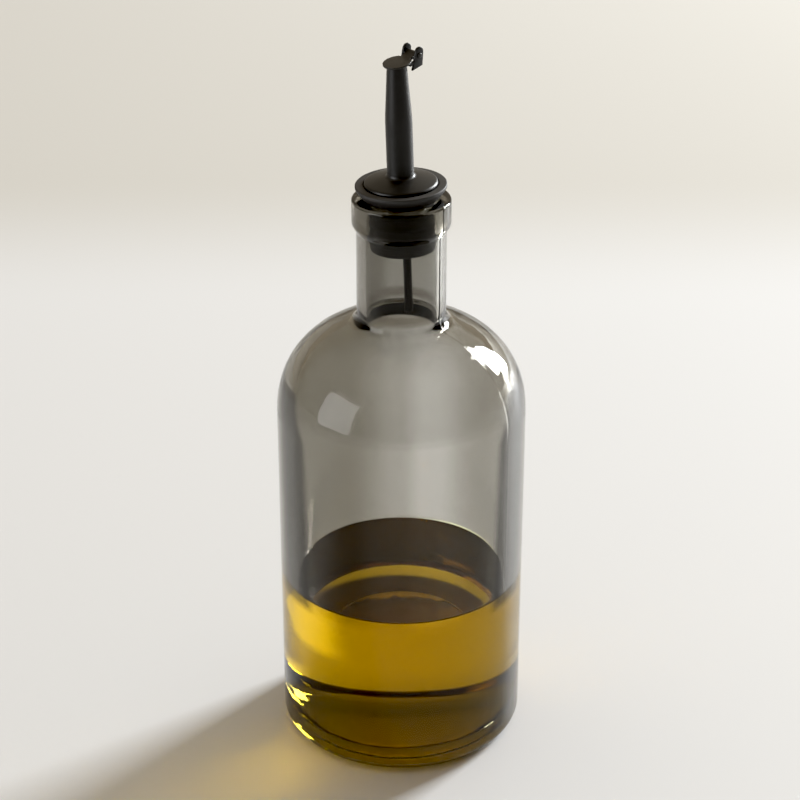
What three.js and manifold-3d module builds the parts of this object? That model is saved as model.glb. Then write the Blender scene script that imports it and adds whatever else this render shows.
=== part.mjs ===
// Oil dispenser bottle: smoked glass, part filled with oil, with a rubber stopper that carries a
// pouring spout, its hinged flap and a vent tube.
// Millimetres and degrees, +Z up, origin at the centre of the base. The outline of every turned
// piece is worked out from the named sizes below.

import * as THREE from 'three';
import { mergeVertices } from 'three/addons/utils/BufferGeometryUtils.js';
import Module from 'manifold-3d';

const wasm = await Module();
wasm.setup();

// Glass bottle
const bodyRadius = 40.5;
const wall = 5.3;
const glassHeight = 189.8;
const heelRadius = 5.5;
const ringInnerRadius = 25.5;
const ringStep = 0.5;
const pushUp = 1.6;
const pushUpBend = [14.0, 1.15];
const floorThickness = 6.0;
const floorCornerRadius = 6.5;
const shoulderStart = 115.8;
const shoulderHeight = 33.8;
const shoulderPower = 2.28;
const innerShoulderHeight = 29.6;
const neckRadius = 14.3;
const neckBoreRadius = 11.3;
const neckFillet = 3.2;
const lipRadius = 15.7;
const lipHeight = 8.3;
const lipChamfer = 2.4;
const lipRound = 0.9;

// Oil
const oilLevel = 56.6;

// Fit of the pieces
const gap = 0.3;
const leanLeft = 1.9;
const leanForward = 0.8;

// Rubber stopper, heights from the plane of the lip
const flangeRadius = 14.4;
const flangeTop = 4.6;
const flangeEdge = 1.0;
const flangeBottom = 0.75;
const flangeFootRadius = 12.4;
const seatDepth = 0.6;
const plugRadius = 10.3;
const plugDepth = 16.4;
const plugRound = 1.4;
const ribRadius = 10.65;
const ribHeights = [-3.5, -7.0, -10.5];
const ribHalfHeight = 0.55;

// Pouring spout
const tubeRadius = 4.2;
const channelRadius = 2.8;
const mouthRadius = 3.0;
const mouthBoreRadius = 2.1;
const mouthBoreDepth = 6;
const domeRadius = 11.6;
const domeEdge = 0.4;
const domeRound = 1.0;
const footHeight = 7.05;
const footFillet = 1.2;
const kneeHeight = 25.7;
const lidHeight = 43.9;
const mouthSlope = 8.5;
const slantAllowance = 1.5;
const hingeTurn = 42;

// Flap and hinge, in the frame of the mouth: x towards the hinge, z out of the mouth
const lidRadius = 4.45;
const lidThickness = 0.6;
const lidShift = 0.15;
const lidBevel = 0.12;
const tongueHalfWidth = 2.0;
const tongueStart = 2.4;
const tongueBend = 3.4;
const tongueHeel = 4.9;
const pinX = 6.7;
const pinZ = 0.15;
const pinRadius = 0.4;
const pinHeadRadius = 0.8;
const pinHeadFlat = 0.48;
const pinHeadRim = 0.1;
const pinHeadThickness = 0.35;
const knuckleRadius = 0.95;
const knuckleBore = 0.51;
const earBore = 0.51;
const earInner = 2.35;
const earThickness = 0.75;
const earTop = [6.95, 1.15];
const earTopRadius = 1.55;
const earFootInner = [3.1, -3.6];
const earFootOuter = [7.35, -3.3];
const webStart = 2.6;
const webEnd = 4.1;
const webDepth = 1.1;
const notchRadius = 3.1;
const notchWidth = 3;
const bendControl = [4.6, 0.1];
const knuckleFrom = -70;
const knuckleTo = 140;

// Vent tube
const ventRadius = 1.33;
const ventBore = 0.8;
const ventShift = 1.15;
const ventBottom = -38.1;
const ventTop = 22;

// Cuts and facets
const cutMargin = 1;
const cutterSide = 30;
const softEdge = 0.25;
const bendSteps = 3;
const heelSteps = 4;
const innerShoulderSteps = 7;
const shoulderSteps = 10;
const shapeSegments = 6;
const bodySides = 56;
const stopperSides = 40;
const spoutSides = 32;
const lidSides = 32;
const tubeSides = 16;
const pinSides = 16;

const glassMaterial = new THREE.MeshStandardMaterial({
  color: 0x77746c, roughness: 0.05, metalness: 0, transparent: true, opacity: 0.45,
});
const oilMaterial = new THREE.MeshStandardMaterial({ color: 0xb08a10, roughness: 0.1, metalness: 0 });
const rubberMaterial = new THREE.MeshStandardMaterial({ color: 0x1c1c1e, roughness: 0.6, metalness: 0 });
const spoutMaterial = new THREE.MeshStandardMaterial({ color: 0x171716, roughness: 0.35, metalness: 0.2 });
const flapMaterial = new THREE.MeshStandardMaterial({ color: 0x1b1a19, roughness: 0.4, metalness: 0.2 });
const pinMaterial = new THREE.MeshStandardMaterial({ color: 0x5c5c5e, roughness: 0.3, metalness: 0.9 });
const ventMaterial = new THREE.MeshStandardMaterial({ color: 0x1a1a1a, roughness: 0.5, metalness: 0 });

// Keeps the positions alone, joins equal corners and drops the triangles that this collapses.
function welded(geometry) {
  const bare = geometry.clone();
  bare.deleteAttribute('normal');
  bare.deleteAttribute('uv');
  const merged = mergeVertices(bare, 1e-4);
  const corners = merged.index.array;
  const kept = [];
  for (let i = 0; i < corners.length; i += 3) {
    const [a, b, c] = [corners[i], corners[i + 1], corners[i + 2]];
    if (a !== b && b !== c && c !== a) kept.push(a, b, c);
  }
  merged.setIndex(kept);
  return merged;
}

function toSolid(geometry) {
  const closed = welded(geometry);
  return new wasm.Manifold(new wasm.Mesh({
    numProp: 3,
    vertProperties: new Float32Array(closed.attributes.position.array),
    triVerts: new Uint32Array(closed.index.array),
  }));
}

function toGeometry(solid) {
  const { vertProperties, triVerts } = solid.getMesh();
  const geometry = new THREE.BufferGeometry();
  geometry.setAttribute('position', new THREE.BufferAttribute(vertProperties, 3));
  geometry.setIndex(new THREE.BufferAttribute(triVerts, 1));
  return geometry;
}

// Turns an outline of [radius, height] points about +Z. It runs up the outside and down the inside.
function turned(outline, sides) {
  const points = outline.map(([radius, height]) => new THREE.Vector2(radius, height));
  return welded(new THREE.LatheGeometry(points, sides).rotateX(Math.PI / 2));
}

// Points of a circular arc, angles in degrees from the outward direction.
function arc(centreRadius, centreHeight, radius, from, to, steps) {
  const points = [];
  for (let i = 0; i <= steps; i += 1) {
    const angle = THREE.MathUtils.degToRad(from + ((to - from) * i) / steps);
    points.push([centreRadius + radius * Math.cos(angle), centreHeight + radius * Math.sin(angle)]);
  }
  return points;
}

// A squared ellipse's point at t degrees: 0 is its widest circle and 90 its top.
function shoulderPoint(radius, height, t) {
  const angle = THREE.MathUtils.degToRad(t);
  const power = 2 / shoulderPower;
  return [radius * Math.cos(angle) ** power, shoulderStart + height * Math.sin(angle) ** power];
}

// The shoulder from the straight wall up to where it bends into the neck, bend included.
function shoulderToNeck(radius, height, toRadius, bend, steps) {
  const endCos = ((toRadius + bend) / radius) ** (shoulderPower / 2);
  const endAngle = THREE.MathUtils.radToDeg(Math.acos(endCos));
  const points = [];
  for (let i = 0; i <= steps; i += 1) {
    points.push(shoulderPoint(radius, height, (endAngle * i) / steps));
  }
  const [r1, z1] = points[steps];
  const [r0, z0] = shoulderPoint(radius, height, endAngle - 0.5);
  const corner = z1 + ((toRadius - r1) * (z1 - z0)) / (r1 - r0);
  const curve = new THREE.QuadraticBezierCurve(
    new THREE.Vector2(r1, z1),
    new THREE.Vector2(toRadius, corner),
    new THREE.Vector2(toRadius, corner + bend),
  );
  const bendPoints = curve.getPoints(bendSteps).slice(1).map((point) => [point.x, point.y]);
  return [...points, ...bendPoints];
}

// Glass: underside with a ring to stand on, body, shoulder, neck and lip, then the hollow back down.
function bottleOutline() {
  const lipFoot = glassHeight - lipHeight;
  const innerRadius = bodyRadius - wall;
  const floorCorner = floorThickness + floorCornerRadius;
  const hollow = shoulderToNeck(
    innerRadius, innerShoulderHeight, neckBoreRadius, neckFillet, innerShoulderSteps,
  ).reverse();
  return [
    [0, pushUp],
    pushUpBend,
    [ringInnerRadius - ringStep, ringStep],
    [ringInnerRadius, 0],
    ...arc(bodyRadius - heelRadius, heelRadius, heelRadius, -90, 0, heelSteps),
    ...shoulderToNeck(bodyRadius, shoulderHeight, neckRadius, neckFillet, shoulderSteps),
    [neckRadius, lipFoot - lipChamfer],
    [lipRadius - softEdge, lipFoot - 2 * softEdge],
    [lipRadius, lipFoot],
    ...arc(lipRadius - lipRound, glassHeight - lipRound, lipRound, 0, 90, bendSteps),
    ...arc(neckBoreRadius + lipRound, glassHeight - lipRound, lipRound, 90, 180, bendSteps),
    ...hollow,
    ...arc(innerRadius - floorCornerRadius, floorCorner, floorCornerRadius, 0, -90, heelSteps),
    [0, floorThickness],
  ];
}

// Oil: the hollow's lower part, a gap inside the glass, with a flat top.
function oilOutline() {
  const radius = bodyRadius - wall - gap;
  const corner = floorCornerRadius - gap;
  const bottom = floorThickness + gap;
  return [
    [0, bottom],
    ...arc(radius - corner, bottom + corner, corner, -90, 0, heelSteps),
    [radius, oilLevel],
    [0, oilLevel],
  ];
}

// Stopper: a tapered flange over the lip with a seat for the spout's dome, and a ribbed plug in the
// neck, with a hole for the spout's stem.
function stopperOutline() {
  const hole = tubeRadius + gap;
  const seatRadius = domeRadius + gap;
  const ribs = [...ribHeights].reverse().flatMap((height) => [
    [plugRadius, height - 2 * ribHalfHeight],
    [ribRadius, height - ribHalfHeight],
    [ribRadius, height + ribHalfHeight],
    [plugRadius, height + 2 * ribHalfHeight],
  ]);
  return [
    [hole, -plugDepth],
    ...arc(plugRadius - plugRound, plugRound - plugDepth, plugRound, -90, 0, bendSteps),
    ...ribs,
    [plugRadius, flangeBottom],
    [flangeFootRadius, flangeBottom],
    [flangeRadius, flangeTop - flangeEdge],
    [flangeRadius, flangeTop - softEdge],
    [flangeRadius - softEdge, flangeTop],
    [seatRadius, flangeTop],
    [seatRadius, flangeTop - seatDepth],
    [hole, flangeTop - seatDepth],
    [hole, -plugDepth],
  ];
}

// Spout: stem through the stopper, dome in the flange's seat, and the tube that narrows to the mouth.
function spoutOutline() {
  const stemBottom = softEdge - plugDepth;
  const domeBottom = flangeTop - seatDepth + gap;
  const footRadius = tubeRadius + footFillet;
  const domeTop = arc(domeRadius - domeRound, domeBottom + domeEdge, domeRound, 0, 75, bendSteps);
  const top = lidHeight + slantAllowance;
  const narrowing = (tubeRadius - mouthRadius) / (lidHeight - kneeHeight);
  return [
    [channelRadius, stemBottom],
    [tubeRadius, stemBottom],
    [tubeRadius, domeBottom],
    [domeRadius - softEdge, domeBottom],
    ...domeTop,
    [footRadius, footHeight],
    ...arc(footRadius, footHeight + footFillet, footFillet, -105, -180, bendSteps),
    [tubeRadius, kneeHeight],
    [tubeRadius - narrowing * (top - kneeHeight), top],
    [mouthBoreRadius, top],
    [mouthBoreRadius, lidHeight - mouthBoreDepth],
    [channelRadius, kneeHeight],
    [channelRadius, stemBottom],
  ];
}

// Vent tube: a plain tube, open at both ends.
function ventOutline() {
  return [
    [ventBore, ventBottom],
    [ventRadius, ventBottom],
    [ventRadius, ventTop],
    [ventBore, ventTop],
    [ventBore, ventBottom],
  ];
}

// Pin: a shank with a round head at each end, turned about its own length.
function pinOutline() {
  const headStart = earInner + earThickness + gap / 2;
  const end = headStart + pinHeadThickness;
  return [
    [0, -end],
    [pinHeadFlat, -end],
    [pinHeadRadius, -headStart - pinHeadRim],
    [pinHeadRadius, -headStart],
    [pinRadius, -headStart],
    [pinRadius, headStart],
    [pinHeadRadius, headStart],
    [pinHeadRadius, headStart + pinHeadRim],
    [pinHeadFlat, end],
    [0, end],
  ];
}

// Extrudes a shape drawn in x and z from y0 to y1.
function slab(shape, y0, y1) {
  const settings = { depth: y1 - y0, bevelEnabled: false, curveSegments: shapeSegments };
  const geometry = new THREE.ExtrudeGeometry(shape, settings);
  return geometry.rotateX(Math.PI / 2).translate(0, y1, 0);
}

// A cylinder about the hinge pin from y0 to y1.
function pinCylinder(radius, y0, y1, sides) {
  return new THREE.CylinderGeometry(radius, radius, y1 - y0, sides).translate(pinX, (y0 + y1) / 2, pinZ);
}

// One ear of the clevis: a slanted tab with a round top.
function earShape() {
  const [innerX, innerZ] = earFootInner;
  const [outerX, outerZ] = earFootOuter;
  const [topX, topZ] = earTop;
  const tangent = (x, z, side) => {
    const reach = Math.hypot(topX - x, topZ - z);
    const towards = Math.atan2(topZ - z, topX - x);
    return towards + side * (Math.PI / 2 + Math.asin(earTopRadius / reach));
  };
  const shape = new THREE.Shape();
  shape.moveTo(innerX, innerZ);
  shape.lineTo(outerX, outerZ);
  shape.absarc(topX, topZ, earTopRadius, tangent(outerX, outerZ, -1), tangent(innerX, innerZ, 1), false);
  shape.closePath();
  return shape;
}

// The flap's tongue: flat off the lid, curving up to the knuckle round the pin.
function tongueShape() {
  const from = THREE.MathUtils.degToRad(knuckleFrom);
  const to = THREE.MathUtils.degToRad(knuckleTo);
  const shape = new THREE.Shape();
  shape.moveTo(tongueStart, -lidThickness);
  shape.lineTo(tongueHeel, -lidThickness);
  shape.absarc(pinX, pinZ, knuckleRadius, from, to, false);
  shape.quadraticCurveTo(...bendControl, tongueBend, 0);
  shape.lineTo(tongueStart, 0);
  shape.closePath();
  return shape;
}

function clevisSolid() {
  const shape = earShape();
  const outer = earInner + earThickness;
  const webTop = -lidThickness - gap;
  const web = new THREE.BoxGeometry(webEnd - webStart, 2 * outer, webDepth)
    .translate((webStart + webEnd) / 2, 0, webTop - webDepth / 2);
  return toSolid(slab(shape, earInner, outer))
    .add(toSolid(slab(shape, -outer, -earInner)))
    .add(toSolid(web))
    .subtract(toSolid(pinCylinder(earBore, -outer - cutMargin, outer + cutMargin, pinSides)));
}

function spoutSolid(mouthMatrix) {
  const mouthPlane = -lidThickness - gap;
  const above = new THREE.BoxGeometry(cutterSide, cutterSide, cutterSide)
    .translate(0, 0, mouthPlane + cutterSide / 2)
    .applyMatrix4(mouthMatrix);
  const clevis = toGeometry(clevisSolid()).applyMatrix4(mouthMatrix);
  return toSolid(turned(spoutOutline(), spoutSides))
    .subtract(toSolid(above))
    .add(toSolid(clevis));
}

function flapSolid() {
  const lid = turned([
    [0, -lidThickness],
    [lidRadius - lidBevel, -lidThickness],
    [lidRadius, lidBevel - lidThickness],
    [lidRadius, -lidBevel],
    [lidRadius - lidBevel, 0],
    [0, 0],
  ], lidSides).translate(lidShift, 0, 0);
  const side = tongueHalfWidth;
  return toSolid(lid)
    .subtract(toSolid(pinCylinder(notchRadius, side, side + notchWidth, lidSides)))
    .subtract(toSolid(pinCylinder(notchRadius, -side - notchWidth, -side, lidSides)))
    .add(toSolid(slab(tongueShape(), -side, side)))
    .subtract(toSolid(pinCylinder(knuckleBore, -side - cutMargin, side + cutMargin, pinSides)));
}

function piece(name, geometry, material) {
  const mesh = new THREE.Mesh(geometry, material);
  mesh.name = name;
  return mesh;
}

const object = new THREE.Group();
object.add(piece('bottle', turned(bottleOutline(), bodySides), glassMaterial));
object.add(piece('oil', turned(oilOutline(), bodySides), oilMaterial));

// The stopper and all it carries lean a little to the left and forward, about the middle of the lip.
const pourer = new THREE.Group();
pourer.name = 'pourer';
pourer.position.z = glassHeight;
pourer.rotation.set(THREE.MathUtils.degToRad(leanForward), THREE.MathUtils.degToRad(-leanLeft), 0);
object.add(pourer);

// The mouth is cut at a slant that rises towards the hinge.
const mouth = new THREE.Group();
mouth.name = 'mouth';
mouth.position.z = lidHeight;
mouth.rotation.set(
  0, THREE.MathUtils.degToRad(-mouthSlope), THREE.MathUtils.degToRad(hingeTurn), 'ZYX',
);
mouth.updateMatrix();
pourer.add(mouth);

pourer.add(piece('stopper', turned(stopperOutline(), stopperSides), rubberMaterial));
pourer.add(piece('spout', toGeometry(spoutSolid(mouth.matrix)), spoutMaterial));

const ventTube = piece('vent_tube', turned(ventOutline(), tubeSides), ventMaterial);
ventTube.position.x = ventShift;
pourer.add(ventTube);

const hingePin = piece('hinge_pin', turned(pinOutline(), pinSides).rotateX(Math.PI / 2), pinMaterial);
hingePin.position.set(pinX, 0, pinZ);
mouth.add(hingePin);
mouth.add(piece('flap', toGeometry(flapSolid()), flapMaterial));

export default object;
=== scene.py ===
"""Oil dispenser bottle on a pale floor in soft window light.

The bottle is smoked glass, part filled with golden oil. A rubber stopper in its mouth carries a
pouring spout with a hinged flap, and a vent tube. Sizes are in millimetres and degrees until a mesh
is finished, and in metres after that. +Z is up and the camera looks along +Y.
"""

from __future__ import annotations

import logging
import math
from collections.abc import Callable
from dataclasses import dataclass, field
from enum import Enum

import bmesh
import bpy
from mathutils import Matrix, Vector, noise

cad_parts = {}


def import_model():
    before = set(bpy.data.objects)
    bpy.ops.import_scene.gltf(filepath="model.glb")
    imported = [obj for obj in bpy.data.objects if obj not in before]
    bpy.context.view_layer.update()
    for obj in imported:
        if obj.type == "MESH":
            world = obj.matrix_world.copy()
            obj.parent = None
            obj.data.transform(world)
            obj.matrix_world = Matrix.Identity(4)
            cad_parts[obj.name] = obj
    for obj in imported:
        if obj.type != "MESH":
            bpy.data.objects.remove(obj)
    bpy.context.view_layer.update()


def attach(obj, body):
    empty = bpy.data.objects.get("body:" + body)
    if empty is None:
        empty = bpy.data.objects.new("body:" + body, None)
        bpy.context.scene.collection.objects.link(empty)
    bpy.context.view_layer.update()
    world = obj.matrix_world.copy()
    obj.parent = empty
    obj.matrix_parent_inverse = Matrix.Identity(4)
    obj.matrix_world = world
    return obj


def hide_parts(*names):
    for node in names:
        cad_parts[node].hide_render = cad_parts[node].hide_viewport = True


LOG = logging.getLogger("oil_bottle")
MM = 0.001

# Points nearer than this, in millimetres, count as one.
MERGE = 1e-4

# The colour sockets of a Mix node that mixes colours.
MIX_LOW, MIX_HIGH, MIX_RESULT = 6, 7, 2

# A colour is linear red, green and blue. A span is where a value starts to rise and where it is full.
Colour = tuple[float, float, float]
Place = tuple[float, float, float]
Span = tuple[float, float]


class Slot(Enum):
    """The material slots."""

    GLASS = "smoked_glass"
    OIL = "oil"
    RUBBER = "black_rubber"
    COATING = "black_coating"
    PLASTIC = "black_plastic"
    PIN = "pin_metal"
    FLAP = "flap_coating"


class Body(Enum):
    """The bodies that the pieces ride on."""

    BOTTLE = "bottle"
    FLAP = "flap"


@dataclass
class Outline:
    """The outline of a turned or extruded piece, drawn from point to point."""

    points: list[tuple[float, float]] = field(default_factory=list)

    def to(self, radius: float, height: float) -> Outline:
        """Adds a straight stretch up to a point."""
        self.points.append((radius, height))
        return self

    def arc(
        self, radius: float, height: float, bend: float, start: float, end: float, steps: int = 8
    ) -> Outline:
        """Adds a circular arc.

        Args:
            radius: the arc centre's distance from the axis.
            height: the arc centre's height.
            bend: the arc's own radius.
            start: the angle where it starts, from the outward direction.
            end: the angle where it ends.
            steps: how many chords it has.

        Returns:
            The outline itself.
        """
        for i in range(steps + 1):
            angle = math.radians(start + (end - start) * i / steps)
            self.points.append((radius + bend * math.cos(angle), height + bend * math.sin(angle)))
        return self

    def follow(self, path: Callable[[float], tuple[float, float]], steps: int) -> Outline:
        """Adds a curve given by a function of 0 to 1."""
        self.points.extend(path(i / steps) for i in range(steps + 1))
        return self

    def swing(self, corner: tuple[float, float], end: tuple[float, float], steps: int = 8) -> Outline:
        """Adds a bend that leaves the last point towards corner and arrives at end from there."""
        start = self.points[-1]
        for i in range(1, steps + 1):
            t = i / steps
            shares = ((1 - t) ** 2, 2 * t * (1 - t), t**2)
            self.points.append(
                tuple(sum(s * p[k] for s, p in zip(shares, (start, corner, end))) for k in (0, 1))
            )
        return self


class Form:
    """A mesh in the making, in millimetres."""

    def __init__(self, bm: bmesh.types.BMesh) -> None:
        """Takes over a bmesh."""
        self.bm = bm

    @classmethod
    def turned(cls, outline: Outline, segments: int = 96) -> Form:
        """Spins an outline about +Z and closes its poles."""
        bm = bmesh.new()
        verts = [bm.verts.new((radius, 0, height)) for radius, height in outline.points]
        edges = [bm.edges.new(pair) for pair in zip(verts, verts[1:])]
        bmesh.ops.spin(
            bm, geom=verts + edges, cent=(0, 0, 0), axis=(0, 0, 1), angle=2 * math.pi,
            steps=segments, use_merge=True, use_duplicate=False,
        )
        bmesh.ops.remove_doubles(bm, verts=bm.verts, dist=MERGE)
        bmesh.ops.recalc_face_normals(bm, faces=bm.faces)
        return cls(bm)

    @classmethod
    def slab(cls, outline: Outline, low: float, high: float) -> Form:
        """Extrudes an outline drawn in x and z from y = low to y = high."""
        bm = bmesh.new()
        face = bm.faces.new([bm.verts.new((x, low, z)) for x, z in outline.points])
        side = bmesh.ops.extrude_face_region(bm, geom=[face])["geom"]
        moved = [item for item in side if isinstance(item, bmesh.types.BMVert)]
        bmesh.ops.translate(bm, verts=moved, vec=(0, high - low, 0))
        bmesh.ops.remove_doubles(bm, verts=bm.verts, dist=MERGE)
        bmesh.ops.recalc_face_normals(bm, faces=bm.faces)
        return cls(bm)

    def softened(self, width: float, over: float = 40, segments: int = 3) -> Form:
        """Rounds every edge that is sharper than an angle."""
        limit = math.radians(over)
        sharp = [e for e in self.bm.edges if e.is_manifold and e.calc_face_angle() > limit]
        bmesh.ops.bevel(
            self.bm, geom=sharp, offset=width, offset_type="OFFSET", segments=segments,
            profile=0.5, affect="EDGES", material=-1, clamp_overlap=True,
        )
        return self

    def placed(self, matrix: Matrix) -> Form:
        """Moves the form."""
        bmesh.ops.transform(self.bm, matrix=matrix, verts=self.bm.verts)
        return self

    def finished(self, name: str, crease: float = 38) -> bpy.types.Object:
        """Writes the form to a smooth-shaded object in metres.

        Args:
            name: the object's name.
            crease: the angle above which an edge stays sharp.

        Returns:
            The object, linked to the scene.
        """
        bm = self.bm
        bmesh.ops.scale(bm, vec=(MM, MM, MM), verts=bm.verts)
        for face in bm.faces:
            face.smooth = True
        for edge in bm.edges:
            edge.smooth = not (edge.is_manifold and edge.calc_face_angle() > math.radians(crease))
        mesh = bpy.data.meshes.new(name)
        bm.to_mesh(mesh)
        bm.free()
        piece = bpy.data.objects.new(name, mesh)
        bpy.context.scene.collection.objects.link(piece)
        return piece


def combined(base: bpy.types.Object, tool: bpy.types.Object, how: str) -> bpy.types.Object:
    """Joins two closed pieces into one, or cuts one from the other, and removes the second.

    Args:
        base: the piece that is kept.
        tool: the piece that is added or taken away.
        how: UNION or DIFFERENCE.

    Returns:
        The kept piece.
    """
    modifier = base.modifiers.new("join", "BOOLEAN")
    modifier.object = tool
    modifier.operation = how
    modifier.solver = "EXACT"
    graph = bpy.context.evaluated_depsgraph_get()
    mesh = bpy.data.meshes.new_from_object(base.evaluated_get(graph))
    base.modifiers.clear()
    base.data = mesh
    bpy.data.objects.remove(tool)
    return base


class Sum:
    """A shader value that Python's operators build Math nodes on."""

    def __init__(self, tree: bpy.types.NodeTree, socket: bpy.types.NodeSocket) -> None:
        """Wraps an output socket of a node tree."""
        self.tree = tree
        self.socket = socket

    def _math(self, operation: str, *values: Sum | float) -> Sum:
        """Adds a Math node on the given values."""
        node = self.tree.nodes.new("ShaderNodeMath")
        node.operation = operation
        for slot, value in zip(node.inputs, values):
            if isinstance(value, Sum):
                self.tree.links.new(value.socket, slot)
            else:
                slot.default_value = value
        return Sum(self.tree, node.outputs[0])

    def __add__(self, other: Sum | float) -> Sum:
        """Adds."""
        return self._math("ADD", self, other)

    __radd__ = __add__

    def __mul__(self, other: Sum | float) -> Sum:
        """Multiplies."""
        return self._math("MULTIPLY", self, other)

    __rmul__ = __mul__

    def __sub__(self, other: Sum | float) -> Sum:
        """Subtracts."""
        return self._math("SUBTRACT", self, other)

    def __rsub__(self, other: float) -> Sum:
        """Subtracts this from a number."""
        return self._math("SUBTRACT", other, self)

    def __truediv__(self, other: Sum | float) -> Sum:
        """Divides."""
        return self._math("DIVIDE", self, other)

    def power(self, exponent: float) -> Sum:
        """Raises to a power."""
        return self._math("POWER", self, exponent)

    def above(self, edge: float) -> Sum:
        """Is 1 over an edge and 0 under it."""
        return self._math("GREATER_THAN", self, edge)

    def below(self, edge: float) -> Sum:
        """Is 1 under an edge and 0 over it."""
        return self._math("LESS_THAN", self, edge)

    def ramp(self, low: float, high: float) -> Sum:
        """Rises smoothly from 0 at low to 1 at high."""
        node = self.tree.nodes.new("ShaderNodeMapRange")
        node.interpolation_type = "SMOOTHSTEP"
        node.inputs["From Min"].default_value = low
        node.inputs["From Max"].default_value = high
        self.tree.links.new(self.socket, node.inputs["Value"])
        return Sum(self.tree, node.outputs[0])


class Graph:
    """A node tree in the making."""

    def __init__(self, tree: bpy.types.NodeTree, output: str) -> None:
        """Takes over a tree and leaves it one output node."""
        self.tree = tree
        self.tree.nodes.clear()
        self.output = self.tree.nodes.new(output)

    def node(
        self, kind: str, settings: dict[str, object] | None = None, **inputs: object
    ) -> bpy.types.Node:
        """Adds a node.

        Args:
            kind: the node's type.
            settings: its properties, set before its sockets.
            inputs: its sockets' values or links, with _ for a space in a socket's name.

        Returns:
            The node.
        """
        made = self.tree.nodes.new(kind)
        for key, value in (settings or {}).items():
            setattr(made, key, value)
        for key, value in inputs.items():
            socket = made.inputs[key.replace("_", " ")]
            if isinstance(value, Sum):
                self.tree.links.new(value.socket, socket)
            elif isinstance(value, bpy.types.NodeSocket):
                self.tree.links.new(value, socket)
            else:
                socket.default_value = value
        return made

    def shown(self, shader: bpy.types.NodeSocket) -> None:
        """Shows a shader on the surface."""
        self.tree.links.new(shader, self.output.inputs["Surface"])


class Finish(Graph):
    """A material in the making."""

    def __init__(self, name: str) -> None:
        """Starts a material with an empty node tree."""
        self.material = bpy.data.materials.new(name)
        self.material.use_nodes = True
        super().__init__(self.material.node_tree, "ShaderNodeOutputMaterial")
        self._place: dict[str, Sum] = {}

    def point(self) -> bpy.types.NodeSocket:
        """The place on the piece, in metres."""
        return self.node("ShaderNodeTexCoord").outputs["Object"]

    def axis(self, name: str) -> Sum:
        """One coordinate of the place on the piece."""
        if not self._place:
            split = self.node("ShaderNodeSeparateXYZ", Vector=self.point())
            self._place = {key: Sum(self.tree, split.outputs[key]) for key in "XYZ"}
        return self._place[name]

    def radius(self) -> Sum:
        """The distance from the bottle's axis."""
        x, y = self.axis("X"), self.axis("Y")
        return (x * x + y * y).power(0.5)

    def noise(
        self, scale: float, detail: float = 2, stretch: Place = (1, 1, 1), roughness: float = 0.55
    ) -> Sum:
        """A soft random value of 0 to 1.

        Args:
            scale: how many waves fit in a metre.
            detail: how many finer layers it has.
            stretch: how much finer it is along each axis.
            roughness: how strong each finer layer is.

        Returns:
            The value.
        """
        spread = self.node("ShaderNodeMapping", Vector=self.point(), Scale=stretch)
        made = self.node(
            "ShaderNodeTexNoise", Vector=spread.outputs[0], Scale=scale, Detail=detail,
            Roughness=roughness,
        )
        return Sum(self.tree, made.outputs["Fac"])

    def bump(self, height: Sum, depth: float, strength: float = 1) -> bpy.types.NodeSocket:
        """Turns a height of 0 to 1 into a normal for relief of a depth in metres."""
        made = self.node("ShaderNodeBump", Height=height, Distance=depth, Strength=strength)
        return made.outputs["Normal"]

    def tint(self, amount: Sum, low: Colour, high: Colour) -> bpy.types.NodeSocket:
        """Mixes two colours by an amount of 0 to 1."""
        return self.mixed(amount, (*low, 1), (*high, 1))

    def mixed(self, amount: Sum, low: object, high: object) -> bpy.types.NodeSocket:
        """Mixes two colours, each a value or a link, by an amount of 0 to 1."""
        made = self.node("ShaderNodeMix", {"data_type": "RGBA"}, Factor=amount)
        for place, value in ((MIX_LOW, low), (MIX_HIGH, high)):
            if isinstance(value, bpy.types.NodeSocket):
                self.tree.links.new(value, made.inputs[place])
            else:
                made.inputs[place].default_value = value
        return made.outputs[MIX_RESULT]

    def skin(self, **inputs: object) -> bpy.types.NodeSocket:
        """Adds a Principled shader and returns its output."""
        return self.node("ShaderNodeBsdfPrincipled", **inputs).outputs[0]

    def split(self, amount: Sum, low: bpy.types.NodeSocket, high: bpy.types.NodeSocket) -> None:
        """Shows one shader where an amount is 0 and another where it is 1."""
        made = self.node("ShaderNodeMixShader", Fac=amount)
        self.tree.links.new(low, made.inputs[1])
        self.tree.links.new(high, made.inputs[2])
        self.shown(made.outputs[0])

    def filled(self, colour: tuple[float, float, float], density: float) -> None:
        """Fills the inside with a clear medium that absorbs light."""
        inside = self.node("ShaderNodeVolumeAbsorption", Color=(*colour, 1), Density=density)
        self.tree.links.new(inside.outputs[0], self.output.inputs["Volume"])


@dataclass(frozen=True)
class Waves:
    """The unevenness of pressed glass: long waves all over, short ones low down and on the shoulder.

    Scales are waves in a metre, and the rest is in metres.
    """

    depth: float = 0.00025
    long_scale: float = 26
    long_share: float = 0.4
    short_scale: float = 75
    short_detail: float = 2
    short_stretch: Place = (1, 1, 1.6)
    base_share: float = 1.1
    base_end: Span = (0.012, 0.034)
    shoulder_share: float = 0.5
    shoulder_start: Span = (0.118, 0.128)
    shoulder_end: Span = (0.146, 0.151)

    def normal(self, look: Finish) -> bpy.types.NodeSocket:
        """Turns the waves into a normal."""
        height = look.axis("Z")
        base = 1 - height.ramp(*self.base_end)
        shoulder = height.ramp(*self.shoulder_start) * (1 - height.ramp(*self.shoulder_end))
        swell = look.noise(self.long_scale, 1) * self.long_share
        ripple = look.noise(self.short_scale, self.short_detail, self.short_stretch)
        amount = base * self.base_share + shoulder * self.shoulder_share
        return look.bump(swell + ripple * amount, self.depth)


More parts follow.
